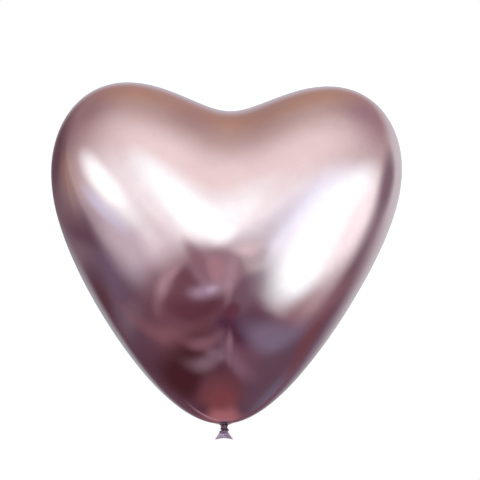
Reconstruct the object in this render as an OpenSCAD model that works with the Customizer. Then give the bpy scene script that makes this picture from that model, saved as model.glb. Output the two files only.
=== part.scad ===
// Heart-shaped latex balloon with a chrome finish, inflated and tied.
// Frame: X runs across the lobes, Y from front to back, Z up. The origin is the middle of
// the neck, where a ribbon is tied. The heart stands above it, the knot and tail hang below.

/* [Heart] */
// Width across the two lobes
heart_w = 300; // [220:5:420]
// Depth from front to back
heart_d = 176; // [130:2:250]
// Height on the centre line, from the tip to the notch
heart_h = 267; // [200:1:380]
// How steeply the middle line climbs from the centre into each lobe
lobe_slope = 0.88; // [0.5:0.01:1.1]
// Rounding of the notch between the lobes
notch_round = 27; // [12:1:60]
// Rounding of the tip
tip_round = 63; // [30:1:90]
// How far the shoulders droop below that climb
shoulder_drop = 16; // [0:1:30]
// Share of its height that the heart loses at its widest points
shoulder_slim = 0.14; // [0:0.01:0.3]
// How much fuller the left lobe is than the right one, as a share
left_fill = 0.027; // [-0.04:0.001:0.04]
// How far the middle of the heart leans to the right of its tip
lean = 2.3; // [-6:0.1:6]
// Share by which the depth grows towards the notch and shrinks towards the tip
belly_rise = 0.1; // [0:0.01:0.25]
// Thickness of the stretched film
film = 0.02; // [0.02:0.01:0.2]

/* [Neck] */
// Radius of the neck's waist
waist_r = 1.7; // [1.5:0.1:2]
// Length of the waist, which a ribbon wraps
tie_h = 1; // [0.8:0.1:4]
// Radius of the round shoulder that turns in the envelope's opening
shoulder_r = 2.4; // [2.2:0.1:3.4]
// Height from the waist's lower end to the flex line above the knot
neck_taper = 1.3; // [1.3:0.1:2.5]
// Radius of the neck at that flex line
stem_r = 0.55; // [0.4:0.05:0.6]
// Reach of the gathers round the opening
gather_r = 10; // [8:0.5:16]

/* [Knot] */
// Radius of the strand inside the knot
core_r = 2.2; // [2.1:0.1:3]
// Height of that strand, from flex line to flex line
core_h = 3.1; // [2.9:0.1:6]
// Chamfer at the strand's ends
core_chamfer = 0.5; // [0.2:0.1:0.6]
// Radius of the latex that wraps round it
wrap_r = 1.1; // [0.9:0.1:1.3]
// Tilt of the wrap
wrap_tilt = 14; // [0:1:16]
// How deep the wrap bites into the strand
wrap_bite = 0.5; // [0.3:0.1:0.6]

/* [Tail] */
// Width of the flattened mouth, across its rolled rim
mouth_w = 15; // [11:0.5:20]
// Gap between the two layers at the mouth, inside to inside
mouth_gap = 1.4; // [1:0.1:2]
// Width of the tail at its root
root_w = 3.2; // [2.6:0.1:4]
// Height of the tail at its middle, from its flex line to the rolled rim
tail_h = 3.9; // [3.6:0.1:10]
// How much lower the mouth's corners hang than its middle
corner_drop = 1; // [0:0.1:2]
// Thickness of the unstretched latex
tail_wall = 0.3; // [0.2:0.05:0.4]
// Radius of the rolled rim
bead_r = 0.55; // [0.45:0.05:0.7]

/* [Flex] */
// Radius of the roller at each flex line
flex_r = 1; // [0.9:0.1:1.1]
// Clearance between pieces that move against each other
gap = 0.2; // [0.15:0.05:0.3]

/* [Hidden] */
$fn = 48;

around = 48;          // facets round the heart
rows = 24;            // rings from the gathers to the notch
gather_rows = 4;      // rings across the gathers
tail_around = 24;     // facets round the tail
tail_rows = 5;        // rings down the tail
bead_sides = 8;       // facets round the rolled rim
bead_steps = 48;      // facets along the rolled rim
nudge = 0.01;         // step for measuring a slope, in degrees

half_w = heart_w / 2;
half_d = heart_d / 2;
half_h = heart_h / 2;

waist_end_z = -tie_h / 2;
shoulder_z = tie_h / 2 + sqrt(pow(shoulder_r, 2) - pow(waist_r, 2));  // ball rests on the waist
opening_r = shoulder_r + gap + film;
gather_rise = 0.6;                     // height of the heart's tip over its opening
tip_z = shoulder_z + gather_rise;
gather_t = -acos(gather_r / half_w);   // latitude where the gathers begin

neck_flex_z = waist_end_z - neck_taper;       // flex line between the neck and the knot
tail_flex_z = neck_flex_z - core_h;           // flex line between the knot and the tail
wrap_ring_r = core_r + wrap_r - wrap_bite;
wrap_hole_r = wrap_ring_r - wrap_r;
// Length of each roller, which ends inside the wrap's hole
flex_len = 2 * (cos(wrap_tilt) * sqrt(pow(wrap_hole_r, 2) - pow(flex_r, 2)) - gap);

root_t = 0.8;         // thickness of the tail at its root
root_share = 0.25;    // share of the tail's height above which it is a solid web
sealed = 0.12;        // share of the height between the web's end and the first gap

// ---- The heart's surface ----
// A flattened ellipsoid, at latitude t and longitude p, whose middle line climbs on both
// sides of the centre. sin(t) is 1 at the notch and -1 at the tip.

// Rounding of the climb, from the tip's to the notch's
function climb_round(t) = (notch_round + tip_round + sin(t) * (notch_round - tip_round)) / 2;

// Height of the middle line at x from the centre
function climb(x, t) =
    lobe_slope * (sqrt(x * x + pow(climb_round(t), 2)) - climb_round(t))
    - shoulder_drop * pow(x / half_w, 4);

// Half the heart's height at u, which runs from -1 to 1 across the width
function rise(u) = half_h * (1 - shoulder_slim * u * u - left_fill * u);

function heart(t, p) =
    let (u = cos(t) * cos(p), x = half_w * u)
    [
        x + lean * (1 + sin(t)),
        half_d * (1 + belly_rise * sin(t)) * cos(t) * sin(p),
        tip_z + half_h + rise(u) * sin(t) + climb(x, t)
    ];

function unit(v) = v / norm(v);

// Outward normal, from the slopes along the surface
function heart_normal(t, p) =
    unit(cross(heart(t, p + nudge) - heart(t, p), heart(t + nudge, p) - heart(t, p)));

// Point under the surface by inward
function under(t, p, inward) = heart(t, p) - inward * heart_normal(t, p);

// Quadratic curve from a to c that heads for b
function curve(a, b, c, k) = (1 - k) * (1 - k) * a + 2 * k * (1 - k) * b + k * k * c;

// The gathers run from the round opening, k = 0, out to the heart's surface, k = 1
function gather(k, p, inward) =
    let (r = opening_r - inward, d = [cos(p), sin(p), 0])
    curve(
        r * d + [0, 0, shoulder_z],
        1.15 * r * d + [0, 0, tip_z + inward],
        under(gather_t, p, inward),
        k
    );

function ring(n, point) = [for (j = [0:n - 1]) point(j * 360 / n)];

function envelope_rings(inward) = concat(
    [for (i = [0:gather_rows - 1])
        ring(around, function(p) gather(i / gather_rows, p, inward))],
    [for (i = [0:rows - 1])
        ring(around, function(p) under(gather_t + (90 - gather_t) * i / rows, p, inward))]
);

// ---- Skins ----
// A skin is the space between an outer and an inner stack of rings. It is open at the first
// ring, where a flat rim joins the two stacks, and each stack is closed by a pole.

function flat(rings) = [for (r = rings) each r];

// Triangles of one stack of m rings of n points, whose first point has index at
function stack_faces(m, n, at) = concat(
    [for (i = [0:m - 2], j = [0:n - 1])
        let (a = at + i * n + j, b = at + i * n + (j + 1) % n)
        each [[a, b + n, b], [a, a + n, b + n]]],
    [for (j = [0:n - 1])
        let (last = at + (m - 1) * n)
        [last + j, last + n, last + (j + 1) % n]]
);

function rim_faces(n, inner_at) = [for (j = [0:n - 1])
    let (k = (j + 1) % n)
    each [[j, k, inner_at + k], [j, inner_at + k, inner_at + j]]];

function reversed(faces) = [for (f = faces) [f[2], f[1], f[0]]];

module skin(outer, outer_pole, inner, inner_pole) {
    m = len(outer);
    n = len(outer[0]);
    inner_at = m * n + 1;
    polyhedron(
        points = concat(flat(outer), [outer_pole], flat(inner), [inner_pole]),
        faces = concat(
            stack_faces(m, n, 0),
            reversed(stack_faces(m, n, inner_at)),
            rim_faces(n, inner_at)
        ),
        convexity = 6
    );
}

module envelope() {
    color("rosybrown")
        skin(
            envelope_rings(0), heart(90, 0),
            envelope_rings(film), heart(90, 0) - [0, 0, film]
        );
}

// ---- Flex lines ----

// Roller along X at height z
module roller(z, r, len) {
    translate([0, 0, z])
        rotate([0, 90, 0])
            cylinder(r = r, h = len, center = true);
}

// ---- Neck ----

module neck() {
    color("rosybrown")
        union() {
            translate([0, 0, shoulder_z]) sphere(r = shoulder_r);
            translate([0, 0, waist_end_z])
                cylinder(r = waist_r, h = shoulder_z - waist_end_z);
            translate([0, 0, neck_flex_z])
                cylinder(r1 = stem_r, r2 = waist_r, h = neck_taper);
            roller(neck_flex_z, flex_r, flex_len);
        }
}

// ---- Knot ----

module knot_core() {
    color("indianred")
        difference() {
            translate([0, 0, tail_flex_z])
                rotate_extrude()
                    polygon([
                        [0, 0],
                        [core_r - core_chamfer, 0],
                        [core_r, core_chamfer],
                        [core_r, core_h - core_chamfer],
                        [core_r - core_chamfer, core_h],
                        [0, core_h]
                    ]);
            roller(neck_flex_z, flex_r + gap, 3 * core_r);
            roller(tail_flex_z, flex_r + gap, 3 * core_r);
        }
}

module knot_wrap() {
    color("indianred")
        translate([0, 0, (neck_flex_z + tail_flex_z) / 2])
            rotate([0, wrap_tilt, 0])
                rotate_extrude()
                    translate([wrap_ring_r, 0]) circle(r = wrap_r);
}

// ---- Tail ----

function blend(a, b, k) = a + (b - a) * k;

// Half the width and half the thickness of the tail at share k of the way to its mouth
function tail_half_w(k) =
    blend(root_w / 2, mouth_w / 2 - bead_r + tail_wall / 2, pow(k, 1.3));
function tail_half_t(k) = blend(root_t / 2, mouth_gap / 2 + tail_wall, k * k);

// Point of a slot with round ends, w and t being half its width and thickness. p runs from
// 0 to 360: each straight side and each round end takes a quarter of it.
function slot(p, w, t) =
    let (straight = w - t)
    p < 45 || p >= 315 ? [straight + t * cos(2 * p), t * sin(2 * p)]
    : p < 135 ? [straight * (90 - p) / 45, t]
    : p < 225 ? [-straight - t * cos(2 * p), -t * sin(2 * p)]
    : [straight * (p - 270) / 45, -t];

// Point of the tail at share k and place p round it, taken in by inward
function tail_point(k, p, inward) =
    let (q = slot(p, tail_half_w(k) - inward, tail_half_t(k) - inward))
    [
        q[0],
        q[1],
        tail_flex_z - tail_h * k - corner_drop * k * pow(q[0] / tail_half_w(k), 2)
    ];

// Rings from the mouth up to share top
function tail_rings(top, inward) = [for (i = [0:tail_rows - 1])
    let (k = blend(1, top, i / (tail_rows - 1)))
    ring(tail_around, function(p) tail_point(k, p, inward))];

module tail() {
    first_gap = root_share + sealed;
    roller_end_z = tail_flex_z - 0.6 * flex_r;
    color("thistle")
        union() {
            skin(
                tail_rings(root_share, 0), [0, 0, roller_end_z],
                tail_rings(first_gap, tail_wall), tail_point(root_share, 90, tail_half_t(root_share))
            );
            roller(tail_flex_z, flex_r, flex_len);
        }
}

// ---- Rolled rim ----
// A closed tube along the mouth, between the tail's two faces

function bead_centre(p) = tail_point(1, p, tail_wall / 2);

function bead_ring(p) =
    let (
        along = unit(bead_centre(p + 1) - bead_centre(p - 1)),
        out = unit(cross(along, [0, 0, 1])),
        up = cross(out, along)
    )
    ring(bead_sides, function(a) bead_centre(p) + bead_r * (cos(a) * out + sin(a) * up));

module mouth_bead() {
    n = bead_sides;
    count = bead_steps * n;
    color("thistle")
        polyhedron(
            points = flat(ring(bead_steps, function(p) bead_ring(p))),
            faces = [for (i = [0:bead_steps - 1], j = [0:n - 1])
                let (
                    a = i * n + j,
                    b = i * n + (j + 1) % n,
                    c = (a + n) % count,
                    d = (b + n) % count
                )
                each [[a, b, d], [a, d, c]]],
            convexity = 4
        );
}

envelope();
neck();
knot_core();
knot_wrap();
tail();
mouth_bead();
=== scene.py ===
"""A heart-shaped latex balloon with a chrome finish, tied with a knot at its tip."""
import math

import bpy
import numpy as np
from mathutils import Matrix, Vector


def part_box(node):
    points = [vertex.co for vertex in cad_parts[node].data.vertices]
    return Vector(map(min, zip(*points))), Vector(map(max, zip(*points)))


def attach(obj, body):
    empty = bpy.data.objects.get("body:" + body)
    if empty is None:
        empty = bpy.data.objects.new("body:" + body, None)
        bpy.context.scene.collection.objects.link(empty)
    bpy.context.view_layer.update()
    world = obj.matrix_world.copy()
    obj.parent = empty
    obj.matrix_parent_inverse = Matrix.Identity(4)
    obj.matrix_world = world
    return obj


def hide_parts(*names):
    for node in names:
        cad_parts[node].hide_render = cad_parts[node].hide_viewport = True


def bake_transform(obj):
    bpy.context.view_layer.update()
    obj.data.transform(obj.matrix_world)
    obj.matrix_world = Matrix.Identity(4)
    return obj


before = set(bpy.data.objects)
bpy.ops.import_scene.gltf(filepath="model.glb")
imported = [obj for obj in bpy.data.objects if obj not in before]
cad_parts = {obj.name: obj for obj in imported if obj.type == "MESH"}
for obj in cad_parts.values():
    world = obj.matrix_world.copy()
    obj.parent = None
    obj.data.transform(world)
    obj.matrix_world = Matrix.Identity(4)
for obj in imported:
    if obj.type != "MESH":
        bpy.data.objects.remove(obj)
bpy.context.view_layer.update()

# ---- Sizes, in metres ----
# The heart's surface is the envelope's: the same shape values, on the frame's own extents.
LOBE_SLOPE = 0.88        # how steeply the middle line climbs into each lobe
NOTCH_ROUND = 0.027      # how widely that line turns at the notch, and at the tip
TIP_ROUND = 0.063
SHOULDER_DROP = 0.016    # how far it sinks again at the widest points
SHOULDER_SLIM = 0.14     # share of its height lost at the widest points
LEFT_FILL = 0.027        # share by which the left side is taller, and the right side lower
BELLY_RISE = 0.1         # share by which the upper half is deeper than the middle
NOTCH_SHARE = 0.9147     # the notch's height as a share of the lobes'

heart_low, heart_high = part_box("envelope")
core_low, core_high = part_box("knot_core")
wrap_low, wrap_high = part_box("knot_wrap")
tail_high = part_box("tail")[1]
rim_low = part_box("mouth_bead")[0]

HALF_W = (heart_high.x - heart_low.x) / 2
LEAN = (heart_high.x + heart_low.x) / 2
HALF_D = (heart_high.y - heart_low.y) / 2
TIP_Z = heart_low.z + 0.0006
HALF_H = (heart_high.z - heart_low.z) * NOTCH_SHARE / 2

SKIN_COLUMNS = 288
HEART_ROWS = 170
GATHER_ROWS = 40
NECK_ROWS = 14
GATHER_R = 0.016         # where the heart's surface hands over to the gathers
GATHER_CORNER = 0.0002   # how far above the tip the gathers' curve turns outwards
PLEATS = 13
PLEAT_DEPTH = 0.0004
THROAT_R = 0.0032
THROAT_TOP = heart_low.z - 0.0001
THROAT_FOLD = 0.11       # depth of the throat's folds, as a share of its radius
WAIST_R = 0.0026
WAIST_Z = -0.0006        # lower end of the skin, at the twisted waist
WAIST_ROLL = ((0.7, 0.0003), (0.86, 0), (0.96, 0.0001))  # its edge turns in: share of radius, lift
WAIST_CAP = 0.0005       # lift of the point that closes it, inside the folds
KNOT_COLUMNS = 144
FOLD_TOP = 0.0008        # the folds of the neck, from inside the skin down into the knot
FOLD_END = core_high.z - 0.0008
FOLD_R = 0.0029
FOLD_DEPTH = 0.12        # as a share of the radius, as on the strand
FOLD_ROWS = 40
STRAND_R = core_high.x - 0.0001
STRAND_DEPTH = 0.09
STRAND_ROWS = 36
STRAND_DOME = 0.0002     # how far its ends stand out
LOOP_R = 0.0026          # the wrap's middle line, and the radius of its roll
ROLL_R = 0.00135
LOOP_ROWS = 150
LOOP_SIDES = 40
LOOP_TURNS = 1.3
LOOP_TILT = 14           # degrees
LOOP_PITCH = 0.0009      # how far a turn climbs
FLARE_TOP_W = 0.0024     # the tail's half widths and half depths, under the knot and at the mouth
FLARE_TOP_D = 0.0016
MOUTH_W = tail_high.x
MOUTH_D = 0.0009
CORNER_DROP = 0.001      # the mouth's corners hang lower than its middle
TAIL_TOP = core_low.z + 0.0014
TAIL_GATHER = 0.0002
TAIL_COLUMNS = 192
INNER_ROWS = 40
OUTER_ROWS = 50
LATEX = 0.0003
RIM_R = 0.00055
TAIL_END = rim_low.z + RIM_R + 0.0007
RIM_COLUMNS = 240
RIM_SIDES = 24
WAVE = 0.0006            # slow wave of the tail's two layers, front to back

FLOOR_Z = -0.32
FLOOR_RINGS = (2.2, 1.0, 0.3)
FLOOR_FADE = (0.5, 1.9)  # where it starts to fade out, and where it is gone
FLOOR_COLUMNS = 96
CAMERA_DISTANCE = 2.4
FRAME_WIDTH = 0.409      # width of what the camera sees at the heart
FRAME_CENTRE = (0.0136, 0.1596)

# ---- Meshes ----


def smooth(low, high, x):
    """0 at low, 1 at high, with no corner at either."""
    k = np.clip((x - low) / (high - low), 0, 1)
    return k * k * (3 - 2 * k)


def grid_mesh(name, points, close_last=None, close_first=None, ring=False):
    """A mesh from closed rows of points, which join up as a ring or end in a pole at either end."""
    rows, columns = points.shape[:2]
    vertices = [tuple(v) for v in points.reshape(-1, 3)]
    faces = []
    for i in range(rows if ring else rows - 1):
        for j in range(columns):
            k = (j + 1) % columns
            a, b = i * columns, (i + 1) % rows * columns
            faces.append((a + j, a + k, b + k, b + j))
    for pole, row, flip in ((close_first, 0, True), (close_last, rows - 1, False)):
        if pole is None:
            continue
        vertices.append(tuple(pole))
        at = row * columns
        for j in range(columns):
            k = (j + 1) % columns
            edge = (at + k, at + j) if flip else (at + j, at + k)
            faces.append((*edge, len(vertices) - 1))
    mesh = bpy.data.meshes.new(name)
    mesh.from_pydata(vertices, [], faces)
    mesh.shade_smooth()
    mesh.validate()
    return mesh


def circle(columns):
    """Angles round the Z axis, and the unit vectors that point along them."""
    p = np.linspace(0, 2 * np.pi, columns, endpoint=False)
    return p, np.stack([np.cos(p), np.sin(p), np.zeros(columns)], axis=-1)


def piece(name, mesh, material):
    """An object in the scene with its material, under the given name."""
    mesh.materials.append(material)
    obj = bpy.data.objects.new(name, mesh)
    bpy.context.scene.collection.objects.link(obj)
    return obj


# ---- The skin: heart, gathers and throat in one surface ----


def heart(t, p):
    """Point of the heart at longitude p and latitude t, from -90 degrees at the tip to 90 at the notch."""
    u = np.cos(t) * np.cos(p)
    x = HALF_W * u
    turn = (NOTCH_ROUND + TIP_ROUND + np.sin(t) * (NOTCH_ROUND - TIP_ROUND)) / 2
    climb = LOBE_SLOPE * (np.sqrt(x * x + turn * turn) - turn) - SHOULDER_DROP * u**4
    rise = HALF_H * (1 - SHOULDER_SLIM * u * u - LEFT_FILL * u)
    y = HALF_D * (1 + BELLY_RISE * np.sin(t)) * np.cos(t) * np.sin(p)
    z = TIP_Z + HALF_H + rise * np.sin(t) + climb
    return np.stack([x + LEAN * (1 + np.sin(t)), y, z], axis=-1)


def pleats(p, drift):
    """Folds round the neck, from -1 to 1, uneven in width and depth."""
    wander = p + 0.16 * np.sin(2 * p + 1) + 0.09 * np.sin(5 * p) + drift
    depth = 0.7 + 0.3 * np.sin(3 * p + 2)
    return depth * np.cos(PLEATS * wander)


def skin_rows():
    """Rows of points from the waist up through the throat and the gathers to the notch."""
    p, flat = circle(SKIN_COLUMNS)
    up = np.array([0, 0, 1])
    gather_t = -math.acos(GATHER_R / HALF_W)
    lip = WAIST_R * (1 + THROAT_FOLD * pleats(p, -0.5))[:, None] * flat
    rows = [share * lip + (WAIST_Z + lift) * up for share, lift in WAIST_ROLL]
    for k in np.linspace(0.04, 1, NECK_ROWS, endpoint=False):
        z = WAIST_Z + (THROAT_TOP - WAIST_Z) * k
        r = WAIST_R + (THROAT_R - WAIST_R) * k**2.2
        fold = 1 + THROAT_FOLD * pleats(p, 0.5 * (k - 1))
        rows.append(r * fold[:, None] * flat + z * up)
    edge = heart(gather_t, p)
    start = THROAT_R * flat + THROAT_TOP * up
    corner = 1.7 * THROAT_R * flat + (TIP_Z + GATHER_CORNER) * up
    for k in np.linspace(0, 1, GATHER_ROWS, endpoint=False):
        row = (1 - k) ** 2 * start + 2 * k * (1 - k) * corner + k * k * edge
        pleat = PLEAT_DEPTH * (1 - k) ** 2 * pleats(p, 0)
        rows.append(row + pleat[:, None] * (flat * (1 - k) - up * k))
    for t in np.linspace(gather_t, np.pi / 2, HEART_ROWS, endpoint=False):
        rows.append(heart(t, p))
    return np.array(rows)


def make_skin(material):
    """The whole skin, which bends from the balloon to the throat below the tip."""
    rows = skin_rows()
    notch = heart(np.pi / 2, 0.0)
    mesh = grid_mesh("balloon_skin", rows, close_last=notch, close_first=(0, 0, WAIST_Z + WAIST_CAP))
    obj = piece("balloon_skin", mesh, material)
    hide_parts("envelope")
    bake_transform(obj)


# ---- The neck, the knot and the tail ----


def swept(path, radii, sides, folds, depth, turns, ring=False):
    """Rows of points round a nearly level path, creased along its length like a twisted strand."""
    if ring:
        along = np.roll(path, -1, axis=0) - np.roll(path, 1, axis=0)
    else:
        along = np.gradient(path, axis=0)
    along /= np.linalg.norm(along, axis=1)[:, None]
    side = np.cross(along, (0, 0, 1))
    side /= np.linalg.norm(side, axis=1)[:, None]
    top = np.cross(side, along)
    a = np.linspace(0, 2 * np.pi, sides, endpoint=False)[None, :]
    s = np.linspace(0, 2 * np.pi, len(path), endpoint=not ring)[:, None]
    crease = 1 + depth * (np.cos(folds * a + turns * s) + 0.4 * np.cos((folds + 3) * a - turns * s + 1))
    reach = np.reshape(radii, (-1, 1)) * crease
    around = np.cos(a)[..., None] * side[:, None] - np.sin(a)[..., None] * top[:, None]
    return path[:, None] + reach[..., None] * around


def make_neck_fold(material):
    """The twisted folds of the neck, which run from inside the skin down into the knot."""
    p, flat = circle(KNOT_COLUMNS)
    rows = []
    for k in np.linspace(0, 1, FOLD_ROWS):
        z = FOLD_END + (FOLD_TOP - FOLD_END) * k
        r = FOLD_R * (0.7 + 0.3 * smooth(0, 0.24, k) - 0.32 * smooth(0.45, 1, k))
        fold = 1 + FOLD_DEPTH * pleats(p, -0.9 * (1 - k))
        rows.append(r * fold[:, None] * flat + np.array([0, 0, z]))
    mesh = grid_mesh("neck_fold", np.array(rows), close_last=(0, 0, FOLD_TOP), close_first=(0, 0, FOLD_END))
    obj = piece("neck_fold", mesh, material)
    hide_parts("neck")
    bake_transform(obj)


def make_strand(material):
    """The strand in the middle of the knot, swollen where the wrap squeezes it."""
    p, flat = circle(KNOT_COLUMNS)
    rows = []
    low, high = core_low.z - STRAND_DOME, core_high.z + STRAND_DOME
    for k in np.linspace(0, 1, STRAND_ROWS):
        z = core_low.z + (core_high.z - core_low.z) * k
        r = STRAND_R * (1 - 0.2 * (2 * k - 1) ** 4)
        fold = 1 + STRAND_DEPTH * pleats(p, 0.5 + 0.8 * k)
        rows.append(r * fold[:, None] * flat + np.array([0, 0, z]))
    mesh = grid_mesh("knot_strand", np.array(rows), close_last=(0, 0, high), close_first=(0, 0, low))
    obj = piece("knot_strand", mesh, material)
    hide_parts("knot_core")
    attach(obj, "knot")


def make_loop(material):
    """The rolled latex wrapped round the knot, its ends tucked in against the strand."""
    s = np.linspace(0, 1, LOOP_ROWS)
    turn = 2 * np.pi * LOOP_TURNS * (s - 0.5) - np.pi / 2
    tuck = 1 - 0.5 * (1 - smooth(0, 0.16, s)) - 0.5 * smooth(0.84, 1, s)
    reach = LOOP_R * tuck * (1 + 0.04 * np.sin(2 * turn + 1))
    x, y = reach * np.cos(turn), reach * np.sin(turn)
    middle = (wrap_low.z + wrap_high.z) / 2
    z = middle + math.tan(math.radians(LOOP_TILT)) * x + LOOP_PITCH * (s - 0.5) * LOOP_TURNS
    radii = ROLL_R * (0.62 + 0.38 * np.sin(np.pi * s) ** 0.4) * (1 + 0.05 * np.sin(19 * s + 2))
    path = np.stack([x, y, z], axis=-1)
    rows = swept(path, radii, sides=LOOP_SIDES, folds=4, depth=0.07, turns=9)
    mesh = grid_mesh("knot_loop", rows, close_last=path[-1], close_first=path[0])
    obj = piece("knot_loop", mesh, material)
    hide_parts("knot_wrap")
    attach(obj, "knot")


def flare(k, p, inset):
    """Point of the tail's layer at share k of the way down to the mouth, and angle p round it."""
    half_w = FLARE_TOP_W + (MOUTH_W - FLARE_TOP_W) * k**0.78 - inset
    half_d = FLARE_TOP_D + (MOUTH_D - FLARE_TOP_D) * k - inset
    x = half_w * np.sign(np.cos(p)) * np.abs(np.cos(p)) ** 0.8
    share = x / half_w
    y = half_d * np.sign(np.sin(p)) * np.abs(np.sin(p)) ** 0.7
    gather = TAIL_GATHER * (1 - k) ** 1.3 * np.cos(12 * share + 2 * np.sin(3 * share))
    y = y + gather * np.abs(np.sin(p)) + WAVE * smooth(0.1, 1, k) * np.sin(3.4 * share + 0.4)
    drop = CORNER_DROP * share * share * k * k
    z = TAIL_TOP + (TAIL_END - TAIL_TOP) * k - drop + CORNER_DROP * 0.35 * k
    return np.stack([x, y, z], axis=-1)


def make_tail(material):
    """The flared end of the neck: two flat layers, gathered under the knot and open at the mouth."""
    p = circle(TAIL_COLUMNS)[0]
    inner = [flare(k, p, LATEX) for k in np.linspace(0.2, 1, INNER_ROWS)]
    outer = [flare(k, p, 0) for k in np.linspace(1, 0, OUTER_ROWS)]
    rows = np.array(inner + outer)
    last, first = rows[-1].mean(axis=0), rows[0].mean(axis=0)
    mesh = grid_mesh("tail_skin", rows, close_last=last, close_first=first)
    obj = piece("tail_skin", mesh, material)
    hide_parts("tail")
    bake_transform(obj)


def make_mouth_roll(material):
    """The rolled rim round the mouth, a little uneven."""
    p = circle(RIM_COLUMNS)[0]
    path = flare(1, p, LATEX / 2)
    radii = RIM_R * (1 + 0.08 * np.sin(5 * p + 1) + 0.05 * np.sin(11 * p))
    rows = swept(path, radii, sides=RIM_SIDES, folds=3, depth=0.06, turns=14, ring=True)
    obj = piece("mouth_roll", grid_mesh("mouth_roll", rows, ring=True), material)
    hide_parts("mouth_bead")
    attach(obj, "tail")


# ---- Materials ----


class Paint:
    """A material's nodes, with a method for each kind that the latex and the floor need."""

    def __init__(self, name, metallic):
        self.material = bpy.data.materials.new(name)
        self.material.use_nodes = True
        self.nodes = self.material.node_tree.nodes
        self.links = self.material.node_tree.links
        self.shader = self.nodes["Principled BSDF"]
        self.shader.inputs["Metallic"].default_value = metallic
        self.place = self.nodes.new("ShaderNodeTexCoord").outputs["Object"]

    def put(self, value, socket):
        """Set a constant on the socket, or link another node's output to it."""
        if isinstance(value, (int, float, tuple)):
            socket.default_value = value
        else:
            self.links.new(value, socket)

    def noise(self, scale, detail=3, stretch=(1, 1, 1), warp=0):
        """Noise from 0 to 1, with scale in waves per metre."""
        mapping = self.nodes.new("ShaderNodeMapping")
        self.links.new(self.place, mapping.inputs["Vector"])
        mapping.inputs["Scale"].default_value = stretch
        node = self.nodes.new("ShaderNodeTexNoise")
        self.links.new(mapping.outputs["Vector"], node.inputs["Vector"])
        node.inputs["Scale"].default_value = scale
        node.inputs["Detail"].default_value = detail
        node.inputs["Distortion"].default_value = warp
        return node.outputs["Fac"]

    def specks(self, scale, low, high):
        """Small scattered dots, 1 at their middle and 0 beyond them."""
        node = self.nodes.new("ShaderNodeTexVoronoi")
        self.links.new(self.place, node.inputs["Vector"])
        node.inputs["Scale"].default_value = scale
        return self.ramp(node.outputs["Distance"], low, high, 1, 0)

    def height(self):
        """Height of each point, in metres."""
        split = self.nodes.new("ShaderNodeSeparateXYZ")
        self.links.new(self.place, split.inputs["Vector"])
        return split.outputs["Z"]

    def calc(self, operation, a, b=0.0):
        """One step of arithmetic."""
        node = self.nodes.new("ShaderNodeMath")
        node.operation = operation
        self.put(a, node.inputs[0])
        self.put(b, node.inputs[1])
        return node.outputs["Value"]

    def add(self, a, b):
        return self.calc("ADD", a, b)

    def multiply(self, a, b):
        return self.calc("MULTIPLY", a, b)

    def ramp(self, value, low, high, to_low, to_high):
        """A smooth change from to_low, where value is low, to to_high, where it is high."""
        node = self.nodes.new("ShaderNodeMapRange")
        node.interpolation_type = "SMOOTHSTEP"
        self.put(value, node.inputs["Value"])
        node.inputs["From Min"].default_value = low
        node.inputs["From Max"].default_value = high
        node.inputs["To Min"].default_value = to_low
        node.inputs["To Max"].default_value = to_high
        return node.outputs["Result"]

    def mix(self, share, a, b):
        """Colour a, with a share of colour b over it."""
        node = self.nodes.new("ShaderNodeMix")
        node.data_type = "RGBA"
        self.put(share, node.inputs["Factor"])
        self.put(a, node.inputs["A"])
        self.put(b, node.inputs["B"])
        return node.outputs["Result"]

    def spokes(self, count, wander):
        """Lines that run away from the Z axis, from -1 to 1 across each."""
        turn = self.nodes.new("ShaderNodeTexGradient")
        turn.gradient_type = "RADIAL"
        self.links.new(self.place, turn.inputs["Vector"])
        angle = self.multiply(turn.outputs["Fac"], 2 * math.pi * count)
        return self.calc("SINE", self.add(angle, self.multiply(wander, 4.0)))

    def bump(self, height, distance, under=None):
        """Fine relief of a given height in metres, on top of other relief."""
        node = self.nodes.new("ShaderNodeBump")
        node.inputs["Distance"].default_value = distance
        self.put(height, node.inputs["Height"])
        if under is not None:
            self.links.new(under, node.inputs["Normal"])
        return node.outputs["Normal"]

    def finish(self, colour, roughness, normal):
        """Put the three results on the shader."""
        self.put(colour, self.shader.inputs["Base Color"])
        self.put(roughness, self.shader.inputs["Roughness"])
        self.put(normal, self.shader.inputs["Normal"])
        return self.material


# Colours, as linear light. Where there are two, noise mixes them.
ROSE = (0.79, 0.6, 0.63, 1)
ROSE_DEEP = (0.74, 0.54, 0.575, 1)
ROSE_CLOUD = (0.7, 0.5, 0.55, 1)
ROSE_TIP = (0.66, 0.38, 0.42, 1)
THROAT_PAINTED_SHADE = (0.17, 0.085, 0.12, 1)
CREASE_PAINTED_SHADE = (0.4, 0.22, 0.27, 1)
ROSE_SPECK = (0.62, 0.42, 0.46, 1)
KNOT_PALE = ((0.3, 0.2, 0.29, 1), (0.46, 0.34, 0.46, 1))
KNOT_PAINTED_SHADE = ((0.1, 0.05, 0.085, 1), (0.2, 0.11, 0.17, 1))
KNOT_DUST = (0.36, 0.25, 0.35, 1)
LILAC = ((0.52, 0.39, 0.52, 1), (0.43, 0.3, 0.43, 1))
LILAC_STREAK = (0.6, 0.48, 0.6, 1)
TAIL_PAINTED_SHADE = (0.2, 0.12, 0.19, 1)
LILAC_DUST = (0.7, 0.6, 0.7, 1)
FLOOR_PALE = ((0.93, 0.93, 0.93, 1), (0.9, 0.9, 0.9, 1))


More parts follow.
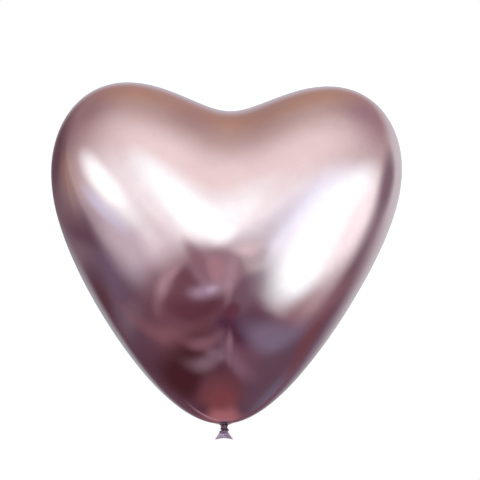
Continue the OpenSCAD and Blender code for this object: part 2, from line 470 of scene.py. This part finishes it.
def chrome_latex():
    """Stretched chrome latex: a rose mirror, faintly uneven, deeper and creased at its tip, with painted
    shade at the throat and along the creases.
    """
    paint = Paint("chrome_latex", 1.0)
    broad = paint.noise(14, 2)
    cloudy = paint.noise(90, 4, warp=0.4)
    fine = paint.noise(1500, 3)
    height = paint.height()
    tip = paint.ramp(height, 0.003, 0.03, 1, 0)
    # The throat below the tip turns almost black: painted shade under the heart. It is also rougher there.
    throat = paint.ramp(height, 0.001, 0.0045, 1, 0)
    near = paint.ramp(height, 0.002, 0.009, 1, 0)
    # Crease lines run out from the tip. The colour darkens along them as painted shade, and the bump sinks
    # them.
    creases = paint.ramp(paint.spokes(PLEATS, broad), -0.3, 1, 0, 1)
    lines = paint.multiply(paint.multiply(creases, near), paint.ramp(cloudy, 0.3, 0.6, 0.3, 1))
    specks = paint.specks(900, 0.08, 0.16)
    rose = paint.mix(paint.ramp(broad, 0.3, 0.7, 0, 1), ROSE, ROSE_DEEP)
    rose = paint.mix(paint.ramp(cloudy, 0.35, 0.75, 0, 0.35), rose, ROSE_CLOUD)
    rose = paint.mix(paint.multiply(tip, 0.3), rose, ROSE_TIP)
    rose = paint.mix(paint.multiply(throat, 0.85), rose, THROAT_PAINTED_SHADE)
    rose = paint.mix(paint.multiply(lines, 0.4), rose, CREASE_PAINTED_SHADE)
    rose = paint.mix(paint.multiply(specks, 0.25), rose, ROSE_SPECK)
    rough = paint.ramp(cloudy, 0.3, 0.75, 0.065, 0.095)
    rough = paint.add(rough, paint.multiply(throat, 0.28))
    rough = paint.add(rough, paint.ramp(fine, 0.35, 0.75, 0, 0.025))
    normal = paint.bump(broad, 0.0006)
    normal = paint.bump(fine, 0.0000025, normal)
    normal = paint.bump(paint.multiply(lines, -1.0), 0.00004, normal)
    return paint.finish(rose, rough, normal)


def gathered_latex():
    """The bunched neck and knot: painted shade where it leaves the balloon and in the hollows of its folds,
    paler and satin towards the tail.
    """
    paint = Paint("gathered_latex", 0.6)
    creased = paint.noise(520, 3, stretch=(1, 1, 0.4), warp=0.5)
    fine = paint.noise(4200, 3)
    # The fold tones follow the same noise that raises the folds, so the hollows are darker: painted shade
    # in the folds.
    folds = paint.ramp(creased, 0.3, 0.7, 0, 1)
    # Towards the heart the colour blends into painted shade, as under the balloon.
    depth = paint.ramp(paint.height(), wrap_low.z, wrap_high.z + 0.0006, 0, 1)
    shade = paint.mix(depth, paint.mix(folds, *KNOT_PALE), paint.mix(folds, *KNOT_PAINTED_SHADE))
    shade = paint.mix(paint.ramp(fine, 0.55, 0.8, 0, 0.3), shade, KNOT_DUST)
    rough = paint.ramp(creased, 0.25, 0.75, 0.52, 0.38)
    rough = paint.add(rough, paint.ramp(fine, 0.3, 0.8, 0, 0.08))
    normal = paint.bump(creased, 0.00018)
    normal = paint.bump(fine, 0.0000025, normal)
    return paint.finish(shade, rough, normal)


def unstretched_latex():
    """The tail and its rim: thicker unstretched rubber, satin and lilac, with painted shade where it leaves
    the knot.
    """
    paint = Paint("unstretched_latex", 0.7)
    cloudy = paint.noise(420, 4, warp=0.5)
    fine = paint.noise(5000, 3)
    streaks = paint.noise(1100, 3, stretch=(1, 1, 0.2))
    # Just under the knot the lilac darkens: painted contact shade under the knot.
    under_knot = paint.ramp(paint.height(), core_low.z - 0.0012, core_low.z + 0.0006, 0, 1)
    specks = paint.specks(1500, 0.1, 0.3)
    lilac = paint.mix(paint.ramp(cloudy, 0.3, 0.7, 0, 1), *LILAC)
    lilac = paint.mix(paint.ramp(streaks, 0.5, 0.8, 0, 0.35), lilac, LILAC_STREAK)
    lilac = paint.mix(paint.multiply(under_knot, 0.6), lilac, TAIL_PAINTED_SHADE)
    lilac = paint.mix(paint.multiply(specks, 0.12), lilac, LILAC_DUST)
    rough = paint.ramp(cloudy, 0.25, 0.75, 0.36, 0.5)
    rough = paint.add(rough, paint.ramp(fine, 0.3, 0.8, 0, 0.08))
    normal = paint.bump(streaks, 0.00006)
    normal = paint.bump(fine, 0.000002, normal)
    return paint.finish(lilac, rough, normal)


# ---- Studio ----


def direction(azimuth, elevation):
    """Unit vector from the object. Azimuth 0 is in front, towards -Y, and 90 is towards +X."""
    a, e = math.radians(azimuth), math.radians(elevation)
    return Vector((math.cos(e) * math.sin(a), -math.cos(e) * math.cos(a), math.sin(e)))


# Soft panels and dark drapes round the set, each painted over those before it: azimuth and
# elevation of its centre, width and height in degrees, tilt, softness of its edge, and light.
PANELS = [
    ("back_warm", 180, 54, 150, 48, 0, 0.6, (0.58, 0.42, 0.29)),
    ("left_drape", -112, 34, 116, 60, 0, 0.7, (0.38, 0.285, 0.29)),
    ("right_drape", 104, 40, 80, 56, 0, 0.7, (0.42, 0.31, 0.34)),
    ("left_back_dark", -140, 8, 76, 38, 0, 0.7, (0.16, 0.1, 0.12)),
    ("left_tan", -98, 4, 30, 18, 0, 0.8, (0.37, 0.25, 0.21)),
    ("left_low_dark", -108, -30, 110, 40, 0, 0.5, (0.14, 0.085, 0.12)),
    ("left_purple", -92, -25, 66, 10, 0, 0.8, (0.2, 0.16, 0.23)),
    ("left_streak", -132, -16, 60, 5, -14, 0.7, (0.24, 0.19, 0.22)),
    ("left_streak_dark", -134, -23, 54, 7, -12, 0.7, (0.12, 0.065, 0.085)),
    ("left_low_streak", -100, -33, 50, 4, -4, 0.8, (0.22, 0.17, 0.21)),
    ("right_low_grey", 106, -52, 120, 40, 0, 0.6, (0.15, 0.1, 0.14)),
    ("right_back_blue", 142, -36, 30, 20, 40, 0.8, (0.2, 0.19, 0.27)),
    ("right_maroon", 114, -36, 40, 9, 0, 0.8, (0.2, 0.09, 0.11)),
    ("back_rose", 180, -56, 24, 60, 0, 0.5, (0.46, 0.22, 0.24)),
    ("back_dark_fold", 172, -30, 60, 8, 12, 0.8, (0.2, 0.1, 0.14)),
    ("back_glint", -166, -46, 26, 5, -14, 0.8, (0.5, 0.34, 0.38)),
    ("front_ceiling", 0, 42, 100, 52, 0, 0.8, (1.1, 1.11, 1.07)),
    ("front_haze", -12, 12, 92, 40, 0, 0.6, (1.2, 1.38, 1.36)),
    ("left_haze", -54, -11, 44, 26, 14, 0.6, (0.68, 0.68, 0.73)),
    ("haze_edge", -33, -8, 24, 13, 34, 0.7, (0.98, 1.04, 1.06)),
    ("right_lilac", 34, 4, 44, 28, 0, 0.8, (1.15, 1.42, 1.58)),
    ("plum_slope", -28, -30, 96, 34, 34, 0.35, (0.2, 0.1, 0.13)),
    ("plum_right", 20, -37, 64, 42, -36, 0.3, (0.19, 0.11, 0.16)),
    ("plum_peak", -5, -10, 28, 24, 0, 0.35, (0.4, 0.3, 0.35)),
    ("plum_deep", 12, -38, 44, 16, -8, 0.6, (0.1, 0.04, 0.08)),
    ("rose_fold", -14, -8, 9, 16, 12, 0.6, (0.34, 0.22, 0.27)),
    ("rose_block", -5, -9, 9, 13, 0, 0.5, (0.5, 0.34, 0.38)),
    ("haze_fold", -38, -20, 38, 4, 36, 0.7, (0.52, 0.4, 0.44)),
    ("lilac_fold", -14, -21, 22, 6, 18, 0.6, (0.5, 0.45, 0.58)),
    ("lilac_glint", -10, -19, 8, 3, 18, 0.5, (0.66, 0.62, 0.76)),
    ("upright_fold", 2, -14, 5, 22, -8, 0.8, (0.5, 0.39, 0.46)),
    ("grey_fold", 14, -7, 16, 9, -42, 0.4, (0.56, 0.56, 0.56)),
    ("pale_gap", 8, 0, 12, 6, -30, 0.9, (0.9, 0.9, 0.9)),
    ("plum_fold", 14, -22, 14, 16, 0, 0.4, (0.22, 0.15, 0.2)),
    ("dark_fold", -24, -29, 44, 9, 12, 0.5, (0.15, 0.06, 0.085)),
    ("dark_block", 5, -29, 14, 8, 0, 0.5, (0.15, 0.05, 0.08)),
    ("red_fold", -52, -41, 62, 6, 3, 0.8, (0.28, 0.15, 0.18)),
    ("blue_fold", 58, -43, 56, 11, 0, 0.7, (0.25, 0.23, 0.33)),
    ("deep_left", -78, -55, 84, 20, 0, 0.5, (0.075, 0.025, 0.032)),
    ("low_arch", -26, -44, 30, 5, 8, 0.7, (0.28, 0.16, 0.2)),
    ("low_streak", -12, -51, 18, 7, -8, 0.7, (0.28, 0.22, 0.28)),
    ("low_haze", -32, -55, 32, 8, 6, 0.9, (0.25, 0.19, 0.23)),
    ("low_glint", 6, -48, 5, 16, 10, 0.7, (0.38, 0.27, 0.33)),
    ("rose_streak", 24, -57, 40, 9, -28, 0.9, (0.26, 0.17, 0.23)),
    ("floor_red", -110, -87, 28, 24, 0, 0.9, (0.24, 0.085, 0.095)),
    ("red_right", 76, -34, 64, 7, 0, 0.8, (0.34, 0.21, 0.24)),
    ("left_lilac", -65, -5, 25, 8, -14, 0.8, (0.84, 1.0, 1.17)),
    ("left_window", -58, 7, 34, 16, -24, 0.8, (1.6, 2.1, 2.0)),
    ("top_light", -15, 25, 24, 23, -55, 0.9, (1.35, 1.75, 1.7)),
    ("top_light_low", -9, 16, 14, 18, -20, 0.9, (1.65, 2.2, 2.1)),
    ("top_light_end", -3, 11, 8, 9, 0, 0.9, (1.5, 1.95, 1.9)),
    ("right_window", 58, -8, 56, 34, 4, 0.6, (1.55, 2.05, 2.0)),
    ("window_corner", 55, -17, 42, 25, -4, 0.6, (1.6, 2.1, 2.05)),
    ("window_end", 81, -15, 33, 27, 0, 0.8, (1.3, 1.42, 1.4)),
    ("far_right_pane", 142, 4, 66, 46, 0, 0.5, (0.72, 0.78, 0.8)),
    ("right_bar", 107, -3, 26, 30, 0, 0.7, (0.26, 0.2, 0.25)),
    ("backdrop", 180, 20, 44, 36, 0, 0.7, (0.62, 0.62, 0.66)),
    ("back_window", 177, 2, 32, 20, -24, 0.6, (1.7, 2.1, 2.1)),
    ("left_back_glow", -160, -14, 36, 14, -16, 0.7, (0.42, 0.46, 0.48)),
]

# What lies behind the panels: elevation and light.
SKY = [
    (-90, (0.22, 0.085, 0.1)),
    (-60, (0.13, 0.06, 0.085)),
    (-35, (0.14, 0.07, 0.1)),
    (-18, (0.3, 0.24, 0.28)),
    (0, (0.62, 0.62, 0.64)),
    (15, (0.7, 0.72, 0.72)),
    (40, (0.6, 0.54, 0.52)),
    (70, (0.6, 0.52, 0.46)),
]


def add_node(nodes, kind, **settings):
    """A new node with its settings."""
    node = nodes.new(kind)
    for name, value in settings.items():
        setattr(node, name, value)
    return node


def dot(nodes, links, vector, axis):
    """Dot product of a vector output and a fixed axis."""
    node = add_node(nodes, "ShaderNodeVectorMath", operation="DOT_PRODUCT")
    links.new(vector, node.inputs[0])
    node.inputs[1].default_value = axis
    return node.outputs["Value"]


def soft_step(nodes, links, value, low, high):
    """1 below low, 0 above high."""
    node = add_node(nodes, "ShaderNodeMapRange", interpolation_type="SMOOTHSTEP")
    links.new(value, node.inputs["Value"])
    node.inputs["From Min"].default_value = low
    node.inputs["From Max"].default_value = high
    node.inputs["To Min"].default_value = 1
    node.inputs["To Max"].default_value = 0
    return node.outputs["Result"]


def paint_panel(nodes, links, view, colour, panel):
    """The light from each direction, with one soft-edged round panel mixed over it."""
    name, azimuth, elevation, width, height, tilt, soft, light = panel
    centre = direction(azimuth, elevation)
    side = direction(azimuth + 90, 0)
    top = centre.cross(side)
    tilt = math.radians(tilt)
    across = (side * math.cos(tilt) + top * math.sin(tilt)) / math.sin(math.radians(width / 2))
    along = (top * math.cos(tilt) - side * math.sin(tilt)) / math.sin(math.radians(height / 2))
    flat = add_node(nodes, "ShaderNodeCombineXYZ")
    links.new(dot(nodes, links, view, across), flat.inputs["X"])
    links.new(dot(nodes, links, view, along), flat.inputs["Y"])
    reach = add_node(nodes, "ShaderNodeVectorMath", operation="LENGTH")
    links.new(flat.outputs["Vector"], reach.inputs[0])
    inside = soft_step(nodes, links, reach.outputs["Value"], 1 - soft, 1 + soft)
    # The same two measures also fit the far side of the sky, which is left out.
    near = soft_step(nodes, links, dot(nodes, links, view, -centre), 0, 0.1)
    share = add_node(nodes, "ShaderNodeMath", operation="MULTIPLY")
    links.new(inside, share.inputs[0])
    links.new(near, share.inputs[1])
    mix = add_node(nodes, "ShaderNodeMix", data_type="RGBA", label=name)
    links.new(share.outputs["Value"], mix.inputs["Factor"])
    links.new(colour, mix.inputs["A"])
    mix.inputs["B"].default_value = (*light, 1)
    return mix.outputs["Result"]


def make_studio():
    """Soft surroundings that the chrome mirrors, and a plain white backdrop behind it."""
    world = bpy.data.worlds.new("studio")
    bpy.context.scene.world = world
    world.use_nodes = True
    # The panels are broad and soft, so they need no light sampling of their own.
    world.cycles.sampling_method = "NONE"
    nodes, links = world.node_tree.nodes, world.node_tree.links
    nodes.clear()
    view = add_node(nodes, "ShaderNodeTexCoord").outputs["Generated"]
    # Height of the direction, from 0 straight down to 1 straight up.
    height = add_node(nodes, "ShaderNodeMapRange")
    links.new(dot(nodes, links, view, (0, 0, 1)), height.inputs["Value"])
    height.inputs["From Min"].default_value = -1
    ramp = add_node(nodes, "ShaderNodeValToRGB")
    links.new(height.outputs["Result"], ramp.inputs["Fac"])
    stops = ramp.color_ramp.elements
    while len(stops) < len(SKY):
        stops.new(0.5)
    for stop, (elevation, light) in zip(stops, SKY):
        stop.position = (1 + math.sin(math.radians(elevation))) / 2
        stop.color = (*light, 1)
    colour = ramp.outputs["Color"]
    for panel in PANELS:
        colour = paint_panel(nodes, links, view, colour, panel)
    studio = add_node(nodes, "ShaderNodeBackground")
    links.new(colour, studio.inputs["Color"])
    backdrop = add_node(nodes, "ShaderNodeBackground")
    backdrop.inputs["Color"].default_value = (1, 1, 1, 1)
    seen = add_node(nodes, "ShaderNodeLightPath").outputs["Is Camera Ray"]
    choose = add_node(nodes, "ShaderNodeMixShader")
    links.new(seen, choose.inputs["Fac"])
    links.new(studio.outputs["Background"], choose.inputs[1])
    links.new(backdrop.outputs["Background"], choose.inputs[2])
    output = add_node(nodes, "ShaderNodeOutputWorld")
    links.new(choose.outputs["Shader"], output.inputs["Surface"])


def make_camera():
    """A long lens, level with the middle of the heart."""
    data = bpy.data.cameras.new("camera")
    data.sensor_width = 36
    data.lens = data.sensor_width * CAMERA_DISTANCE / FRAME_WIDTH
    camera = bpy.data.objects.new("camera", data)
    camera.location = (FRAME_CENTRE[0], -CAMERA_DISTANCE, FRAME_CENTRE[1])
    camera.rotation_euler = (math.pi / 2, 0, 0)
    bpy.context.scene.collection.objects.link(camera)
    bpy.context.scene.camera = camera


def make_floor():
    """A wide pale floor well below the tail, which fades into the white backdrop."""
    flat = circle(FLOOR_COLUMNS)[1]
    rows = np.array([r * flat + np.array([0, 0, FLOOR_Z]) for r in FLOOR_RINGS])
    mesh = grid_mesh("floor", rows, close_last=(0, 0, FLOOR_Z))
    paint = Paint("pale_floor", 0.0)
    away = add_node(paint.nodes, "ShaderNodeVectorMath", operation="LENGTH")
    paint.links.new(paint.place, away.inputs[0])
    clear = add_node(paint.nodes, "ShaderNodeBsdfTransparent")
    blend = add_node(paint.nodes, "ShaderNodeMixShader")
    paint.links.new(paint.ramp(away.outputs["Value"], *FLOOR_FADE, 0, 1), blend.inputs["Fac"])
    paint.links.new(paint.shader.outputs["BSDF"], blend.inputs[1])
    paint.links.new(clear.outputs["BSDF"], blend.inputs[2])
    paint.links.new(blend.outputs["Shader"], paint.nodes["Material Output"].inputs["Surface"])
    grain = paint.noise(60, 3)
    paint.finish(paint.mix(grain, *FLOOR_PALE), 0.9, paint.bump(grain, 0.0002))
    mesh.materials.append(paint.material)
    floor = bpy.data.objects.new("floor", mesh)
    bpy.context.scene.collection.objects.link(floor)
    floor.visible_glossy = False


def make_lamp():
    """A large soft light overhead, which shades the floor under the balloon."""
    data = bpy.data.lights.new("softbox", "AREA")
    data.shape = "DISK"
    data.size = 1.6
    data.energy = 18
    lamp = bpy.data.objects.new("softbox", data)
    lamp.location = (-0.3, -0.5, 1.9)
    lamp.rotation_euler = (-Vector(lamp.location)).to_track_quat("-Z", "Y").to_euler()
    lamp.visible_glossy = False
    bpy.context.scene.collection.objects.link(lamp)


def main():
    """The camera, light and floor, then each piece from the skin down to the rim."""
    bpy.context.scene.view_settings.view_transform = "Standard"
    make_camera()
    make_studio()
    make_lamp()
    make_floor()
    make_skin(chrome_latex())
    bunched = gathered_latex()
    make_neck_fold(bunched)
    make_strand(bunched)
    make_loop(bunched)
    satin = unstretched_latex()
    make_tail(satin)
    make_mouth_roll(satin)


main()
